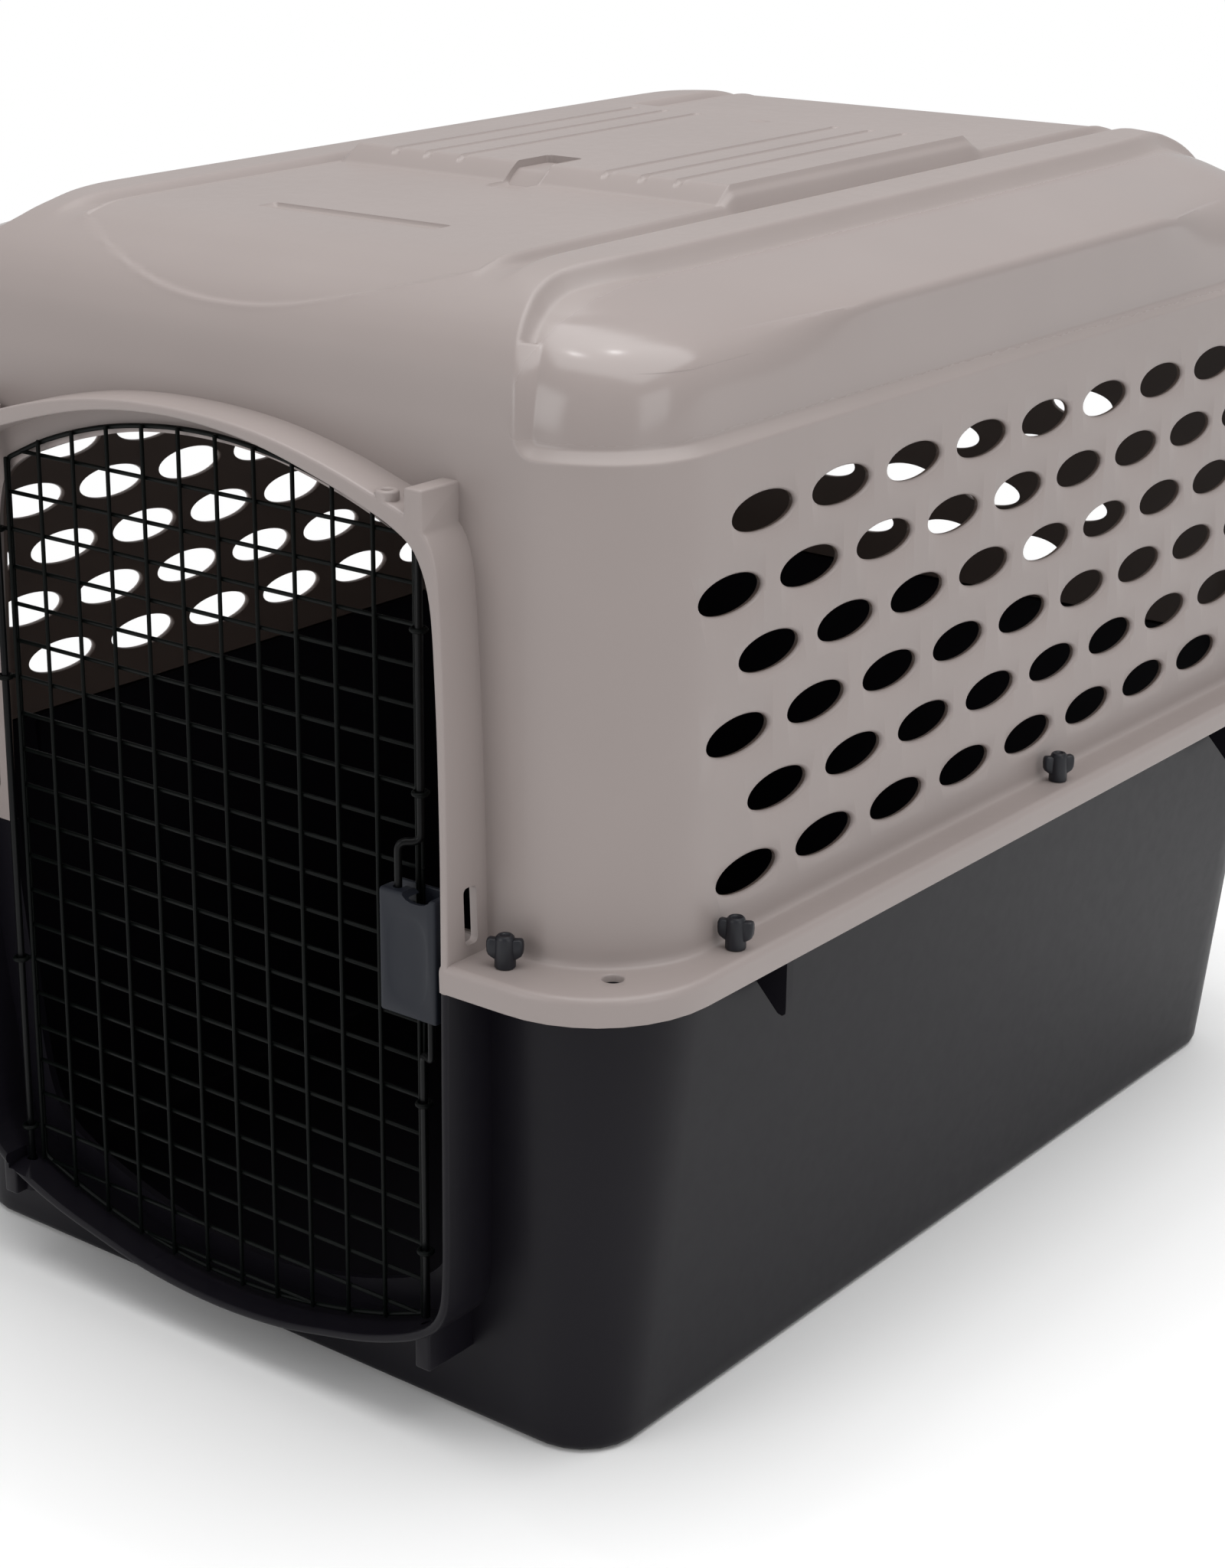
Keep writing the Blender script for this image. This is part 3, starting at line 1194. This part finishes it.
def moulded(name, color, rough, mottle, grain, grain_scale, spec=0.5, metal=0.0):
    """Surface with faint colour drift (mottle), fine grain and uneven roughness."""
    material = bpy.data.materials.new(name)
    material.use_nodes = True
    tree = material.node_tree
    tree.nodes.clear()
    place = add_node(tree, "TexCoord", {}).outputs["Object"]

    def noise(scale, detail, roughness, distortion=0.0):
        return add_node(tree, "TexNoise", {
            "Scale": scale, "Detail": detail, "Roughness": roughness,
            "Distortion": distortion, "Vector": place}).outputs["Fac"]

    drift = noise(scale=9, detail=2, roughness=0.55)
    patches = noise(scale=120, detail=4, roughness=0.6, distortion=0.3)
    fine = noise(scale=grain_scale, detail=2, roughness=0.5)
    blend = math_node(tree, "MULTIPLY_ADD", fine, 0.12,
                      math_node(tree, "MULTIPLY", drift, 0.88))
    noise_range = (0.3, 0.7)
    linear = srgb(color)[:3]
    tint = add_node(tree, "Mix", {
        "A": tuple(v * (1 - mottle) for v in linear) + (1,),
        "B": tuple(min(1, v * (1 + mottle)) for v in linear) + (1,),
        "Factor": map_range(tree, blend, noise_range)}, data_type="RGBA")
    bump = add_node(tree, "Bump", {"Strength": grain, "Distance": 0.0002, "Height": fine})
    surface = add_node(tree, "BsdfPrincipled", {
        "Base Color": tint.outputs["Result"],
        "Roughness": map_range(tree, patches, noise_range, (rough - 0.02, rough + 0.025)),
        "Specular IOR Level": spec, "Metallic": metal, "Normal": bump.outputs["Normal"]})
    add_node(tree, "OutputMaterial", {"Surface": surface.outputs["BSDF"]})
    return material


def add_shell_zones(material):
    """Shinier set-back faces high on the sides, and darker inner faces of the walls."""
    tree = material.node_tree
    surface = next(n for n in tree.nodes if n.type == "BSDF_PRINCIPLED")
    coords = next(n for n in tree.nodes if n.type == "TEX_COORD")
    xyz = add_node(tree, "SeparateXYZ", {"Vector": coords.outputs["Object"]}).outputs

    def op(operation, *values):
        return math_node(tree, operation, *values)

    recess = op("MULTIPLY", map_range(tree, op("ABSOLUTE", xyz["X"]), (0.170, 0.177)),
                map_range(tree, xyz["Z"], (0.468, 0.476)))
    roughness = surface.inputs["Roughness"]
    gloss = op("MULTIPLY_ADD", recess, -0.21, roughness.links[0].from_socket)
    tree.links.new(gloss, roughness)

    # distance from the centre of a corner, with the lean of the walls taken out (m)
    corner_x, corner_y, inner_radius, inner_top = 0.186, 0.271, 0.0530, 0.4655
    lean = op("MULTIPLY", op("SUBTRACT", xyz["Z"], 0.249), WALL_LEAN)
    ax = op("ADD", op("ABSOLUTE", xyz["X"]), lean)
    ay = op("ADD", op("ABSOLUTE", xyz["Y"]), lean)
    qx = op("MAXIMUM", op("SUBTRACT", ax, corner_x), 0.0)
    qy = op("MAXIMUM", op("SUBTRACT", ay, corner_y), 0.0)
    distance = op("SQRT", op("ADD", op("MULTIPLY", qx, qx), op("MULTIPLY", qy, qy)))
    inside = op("MULTIPLY", op("LESS_THAN", distance, inner_radius),
                op("LESS_THAN", xyz["Z"], inner_top))
    color = surface.inputs["Base Color"]
    darkened = add_node(tree, "Mix", {
        "A": color.links[0].from_socket, "B": (0.36, 0.31, 0.28, 1),
        "Factor": op("MULTIPLY", inside, 1.0)}, data_type="RGBA", blend_type="MULTIPLY")
    tree.links.new(darkened.outputs["Result"], color)


TAUPE = moulded("moulded_taupe", (148, 138, 135), rough=0.40, mottle=0.025, grain=0.05,
                grain_scale=1900, spec=0.42)
add_shell_zones(TAUPE)
CHARCOAL = moulded("moulded_charcoal", (17, 15, 21), rough=0.40, mottle=0.06, grain=0.06,
                   grain_scale=1900, spec=0.15)
SLATE = moulded("moulded_slate", (29, 32, 40), rough=0.42, mottle=0.05, grain=0.06,
                grain_scale=2200, spec=0.22)
KNOB = moulded("moulded_knob", (22, 23, 29), rough=0.40, mottle=0.07, grain=0.16,
               grain_scale=2400, spec=0.35)
WIRE = moulded("coated_wire", (5, 8, 7), rough=0.42, mottle=0.2, grain=0.04,
               grain_scale=3200, spec=0.1)
ROD = moulded("coated_rod", (6, 7, 8), rough=0.34, mottle=0.2, grain=0.04,
              grain_scale=3000, spec=0.16)
STEEL = moulded("plain_steel", (150, 152, 154), rough=0.28, mottle=0.05, grain=0.12,
                grain_scale=3600, metal=1.0)


def paint(obj, material):
    obj.data.materials.clear()
    obj.data.materials.append(material)


# ------------------------------------------------------------------ build
def finish(obj, material, body, node):
    paint(obj, material)
    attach(obj, body)
    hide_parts(node)
    return obj


top = finish(shade(build_top(), 48), TAUPE, "top", "top_shell")
finish(shade(build_base(), 34), CHARCOAL, "base", "base_shell")
finish(build_door(), WIRE, "door", "door_grille")
hinge_path = [(*HINGE, z) for z in (44.7, 240, 439.8)]
finish(rod("carrier_hinge_rod", hinge_path), ROD, "door", "hinge_rod")
for body, corners in (("upper_latch", UPPER_ROD), ("lower_latch", LOWER_ROD)):
    bent = fillet_path(corners, ROD_BEND, ROD_BEND_STEPS)
    finish(rod(f"carrier_{body}_rod", bent), ROD, body, body + "_rod")
finish(build_latch_cover(), SLATE, "door", "latch_cover")
finish(build_back_plate(), SLATE, "door", "latch_back_plate")

nut, bolt = nut_master(), bolt_master()
for key, (x, y, turn) in NUTS.items():
    for master, label, z, material, body, slot in (
            (nut, "wing_nut_", NUT_Z, KNOB, "nut_" + key, "knob_plastic"),
            (bolt, "clamp_bolt_", BOLT_Z, STEEL, "base", "plain_steel")):
        part = link_mesh("carrier_" + label + key, master.data.copy())
        part.data.transform(Matrix.Translation(Vector((x, y, z)) * MM)
                            @ Matrix.Rotation(turn, 4, "Z"))
        part.data.update()
        finish(shade(part, 40), material, body, label + key)
remove(nut)
remove(bolt)

spring = finish(build_spring(), STEEL, "door", "latch_spring")
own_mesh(spring)

# CAD pieces that still show
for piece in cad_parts.values():
    if not piece.hide_render:
        paint(piece, STEEL)
        shade(piece, 60)

# ------------------------------------------------------------------ studio (m)
FLOOR_Z = -0.0006
FLOOR_RADII = [0.5, 0.8, 1.2, 1.8, 2.8, 4.5, 8, 16, 40]
FLOOR_FADE = (0.46, 0.95)    # distances from the origin over which the floor turns white


def floor_material():
    """Near-white floor that fades into plain white light away from the object."""
    material = bpy.data.materials.new("studio_white")
    material.use_nodes = True
    tree = material.node_tree
    surface = tree.nodes["Principled BSDF"]
    noise = add_node(tree, "TexNoise", {"Scale": 3})
    tint = add_node(tree, "Mix", {
        "A": srgb((252, 252, 252)), "B": srgb((254, 254, 254)),
        "Factor": noise.outputs["Fac"]}, data_type="RGBA")
    tree.links.new(tint.outputs["Result"], surface.inputs["Base Color"])
    surface.inputs["Roughness"].default_value = 0.9
    coords = add_node(tree, "TexCoord", {})
    distance = add_node(tree, "VectorMath", {0: coords.outputs["Object"]}, operation="LENGTH")
    fade = map_range(tree, distance.outputs["Value"], FLOOR_FADE,
                     interpolation_type="SMOOTHSTEP")
    white = add_node(tree, "Emission", {"Color": (1, 1, 1, 1)})
    mix = add_node(tree, "MixShader", {0: fade, 1: surface.outputs[0], 2: white.outputs[0]})
    tree.links.new(mix.outputs[0], tree.nodes["Material Output"].inputs["Surface"])
    return material


def make_floor():
    """Round flat floor in rings."""
    sides = 96
    verts = [(0, 0, FLOOR_Z)]
    for radius in FLOOR_RADII:
        verts += [(radius * c, radius * s, FLOOR_Z) for c, s in circle(sides)]
    faces = [[0, 1 + i, 1 + (i + 1) % sides] for i in range(sides)]
    for k in range(len(FLOOR_RADII) - 1):
        a, b = 1 + k * sides, 1 + (k + 1) * sides
        for i in range(sides):
            j = (i + 1) % sides
            faces.append([a + i, b + i, b + j, a + j])
    return new_object("studio_floor", verts, faces, 1.0)


floor = make_floor()
paint(floor, floor_material())

# camera: place, and the directions to its right, down and forward
EYE = Vector((0.9151, -1.2153, 0.7349))
RIGHT = Vector((0.79775, 0.60286, 0.01248))
DOWN = Vector((0.19321, -0.23595, -0.95236))
FORWARD = Vector((-0.57120, 0.76216, -0.30471))


def area(name, at, to, size, power):
    light = bpy.data.lights.new(name, "AREA")
    light.energy = power
    light.shape = "RECTANGLE"
    light.size, light.size_y = size
    obj = bpy.data.objects.new(name, light)
    obj.location = at
    direction = (Vector(to) - Vector(at)).normalized()
    obj.rotation_euler = direction.to_track_quat("-Z", "Y").to_euler()
    bpy.context.scene.collection.objects.link(obj)


area("sky_box", at=(0.35, 0.1, 3.1), to=(0, 0, 0.3), size=(3.2, 3.6), power=92)
area("front_fill", at=(-0.9, -3.2, 1.5), to=(0, 0, 0.3), size=(1.6, 1.4), power=19)
area("side_fill", at=(3.2, -0.6, 1.4), to=(0, 0, 0.35), size=(1.6, 1.4), power=14)

# two small lights placed so that the top shell mirrors them to the camera;
# slopes of the sight lines, to the right and down per unit forward
GLINT_DISTANCE = 2.2
bpy.context.view_layer.update()
for name, slope_right, slope_down in (("glint_a", -0.0260741442, -0.1178993343),
                                      ("glint_b", -0.0084458126, -0.1178993343)):
    sight = (RIGHT * slope_right + DOWN * slope_down + FORWARD).normalized()
    hit, spot, normal, _ = top.ray_cast(EYE, sight)
    if hit:
        mirrored = (sight - 2 * sight.dot(normal) * normal).normalized()
        area(name, at=spot + mirrored * GLINT_DISTANCE, to=spot, size=(0.08, 0.08), power=1.5)

# white world, at half strength for all but camera rays
world = bpy.data.worlds.new("studio_world")
bpy.context.scene.world = world
world.use_nodes = True
background = world.node_tree.nodes["Background"]
background.inputs["Color"].default_value = (1, 1, 1, 1)
light_path = add_node(world.node_tree, "LightPath", {})
strength = map_range(world.node_tree, light_path.outputs["Is Camera Ray"], (0.0, 1.0),
                     (0.5, 1.0))
world.node_tree.links.new(strength, background.inputs["Strength"])
bpy.context.scene.view_settings.view_transform = "Standard"

camera = bpy.data.cameras.new("photo_view")
camera.sensor_fit = "VERTICAL"
camera.sensor_height = 36
camera.lens = 66.8091796875
camera.shift_x = -0.020068359375
camera.shift_y = -0.056103515625
camera.clip_end = 50
view = bpy.data.objects.new("photo_view", camera)
view.matrix_world = (Matrix.Translation(EYE)
                     @ Matrix((RIGHT, -DOWN, -FORWARD)).transposed().to_4x4())
bpy.context.scene.collection.objects.link(view)
bpy.context.scene.camera = view
